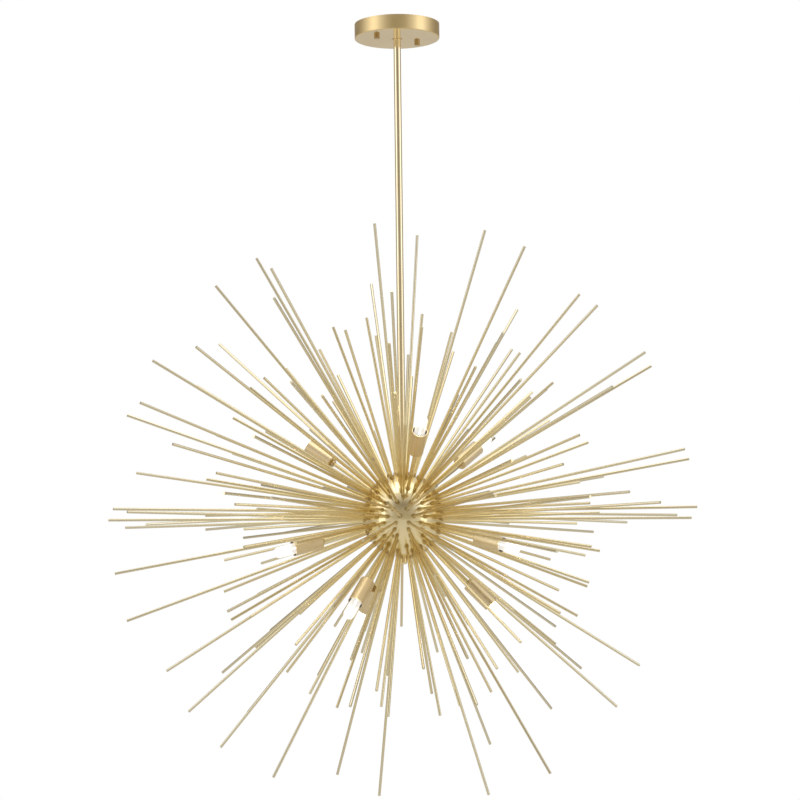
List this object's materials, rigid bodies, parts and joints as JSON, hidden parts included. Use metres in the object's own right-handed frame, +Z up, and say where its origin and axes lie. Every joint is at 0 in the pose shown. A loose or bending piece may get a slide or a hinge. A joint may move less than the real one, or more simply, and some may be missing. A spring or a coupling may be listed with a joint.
{
  "type": "multi arm chandelier",
  "caption": "Starburst pendant chandelier: a ball hub of straight satin-gold rods and small tube lamps, on a rod stem with a round ceiling canopy.",
  "frame": {"origin": "middle of the two box-screw slots in the mounting bracket, on the ceiling plane", "axes": "+Z up out of the ceiling face, X along the line of the box screws, -Y towards the front"},
  "size_m": [1.0124, 1.0124, 1.3548],
  "materials": {
    "satin_gold_rods": "satin",
    "satin_gold_canopy": "satin",
    "satin_gold_stem": "satin",
    "satin_gold_hub": "satin",
    "satin_gold_lamps": "satin",
    "turned_brass": "satin",
    "zinc_steel": "zinc plated",
    "green_screw": "painted",
    "black_phenolic": "moulded phenolic",
    "raw_brass": "bright",
    "lead_insulation": "clear insulation",
    "connector_plastic": "moulded",
    "bulb_glass": "clear",
    "bulb_cap": "bright"
  },
  "bodies": {
    "canopy": {"canopy_shell": "satin_gold_canopy", "mounting_bracket": "zinc_steel", "canopy_studs": "zinc_steel", "stud_lock_nuts": "zinc_steel", "ground_screw": "green_screw"},
    "seat_ring": {"seat_ring": "turned_brass"},
    "pendant": {"arm_inner_nuts": "zinc_steel", "arm_nuts": "turned_brass", "ball_nut": "zinc_steel", "cap_nut": "satin_gold_hub", "centre_contacts": "raw_brass", "cup_collars": "turned_brass", "cup_nuts": "zinc_steel", "lamp_arms": "satin_gold_lamps", "lamp_leads": "lead_insulation", "lower_hub_half": "satin_gold_hub", "lower_long_rods": "satin_gold_rods", "lower_rod_collars": "turned_brass", "lower_rod_nuts": "zinc_steel", "lower_short_rods": "satin_gold_rods", "lower_stem": "satin_gold_stem", "screw_shells": "raw_brass", "socket_cups": "satin_gold_lamps", "sockets": "black_phenolic", "stem_lead": "lead_insulation", "stem_nipple": "zinc_steel", "swivel_ball": "turned_brass", "tie_nut": "zinc_steel", "tie_pipe": "zinc_steel", "top_nipple": "zinc_steel", "upper_hub_half": "satin_gold_hub", "upper_long_rods": "satin_gold_rods", "upper_rod_collars": "turned_brass", "upper_rod_nuts": "zinc_steel", "upper_short_rods": "satin_gold_rods", "upper_stem": "satin_gold_stem", "wire_nuts": "connector_plastic"},
    "thumb_nut_1": {"thumb_nut_1": "turned_brass"},
    "thumb_nut_2": {"thumb_nut_2": "turned_brass"},
    "bulb_1": {"bulb_1_glass": "bulb_glass", "bulb_1_base": "bulb_cap"},
    "bulb_2": {"bulb_2_glass": "bulb_glass", "bulb_2_base": "bulb_cap"},
    "bulb_3": {"bulb_3_glass": "bulb_glass", "bulb_3_base": "bulb_cap"},
    "bulb_4": {"bulb_4_glass": "bulb_glass", "bulb_4_base": "bulb_cap"},
    "bulb_5": {"bulb_5_glass": "bulb_glass", "bulb_5_base": "bulb_cap"},
    "bulb_6": {"bulb_6_glass": "bulb_glass", "bulb_6_base": "bulb_cap"},
    "bulb_7": {"bulb_7_glass": "bulb_glass", "bulb_7_base": "bulb_cap"},
    "bulb_8": {"bulb_8_glass": "bulb_glass", "bulb_8_base": "bulb_cap"},
    "bulb_9": {"bulb_9_glass": "bulb_glass", "bulb_9_base": "bulb_cap"}
  },
  "joints": [
    {"name": "seat_turn", "type": "hinge", "parent": "canopy", "child": "seat_ring", "pos_m": [0, 0, -0.01702], "axis": [0, 0, 1], "range_deg": [-180, 180]},
    {"name": "ball_tilt", "type": "hinge", "parent": "seat_ring", "child": "pendant", "pos_m": [0, 0, -0.01702], "axis": [0, 1, 0], "range_deg": [-10, 10]},
    {"name": "thumb_nut_1_turn", "type": "hinge", "parent": "canopy", "child": "thumb_nut_1", "pos_m": [-0.0355, -0.02675, -0.029], "axis": [0, 0, 1], "continuous": true},
    {"name": "thumb_nut_2_turn", "type": "hinge", "parent": "canopy", "child": "thumb_nut_2", "pos_m": [0.0355, 0.02675, -0.029], "axis": [0, 0, 1], "continuous": true},
    {"name": "bulb_1_out", "type": "slide", "parent": "pendant", "child": "bulb_1", "axis": [0.1422, -0.8067, 0.5736], "range_m": [0, 0.04]},
    {"name": "bulb_2_out", "type": "slide", "parent": "pendant", "child": "bulb_2", "axis": [0.6275, 0.5265, 0.5736], "range_m": [0, 0.04]},
    {"name": "bulb_3_out", "type": "slide", "parent": "pendant", "child": "bulb_3", "axis": [-0.7698, 0.2802, 0.5736], "range_m": [0, 0.04]},
    {"name": "bulb_4_out", "type": "slide", "parent": "pendant", "child": "bulb_4", "axis": [0.7864, -0.5609, -0.2588], "range_m": [0, 0.04]},
    {"name": "bulb_5_out", "type": "slide", "parent": "pendant", "child": "bulb_5", "axis": [0.0926, 0.9615, -0.2588], "range_m": [0, 0.04]},
    {"name": "bulb_6_out", "type": "slide", "parent": "pendant", "child": "bulb_6", "axis": [-0.879, -0.4006, -0.2588], "range_m": [0, 0.04]},
    {"name": "bulb_7_out", "type": "slide", "parent": "pendant", "child": "bulb_7", "axis": [-0.3851, -0.593, -0.7071], "range_m": [0, 0.04]},
    {"name": "bulb_8_out", "type": "slide", "parent": "pendant", "child": "bulb_8", "axis": [0.7061, -0.037, -0.7071], "range_m": [0, 0.04]},
    {"name": "bulb_9_out", "type": "slide", "parent": "pendant", "child": "bulb_9", "axis": [-0.321, 0.63, -0.7071], "range_m": [0, 0.04]}
  ]
}
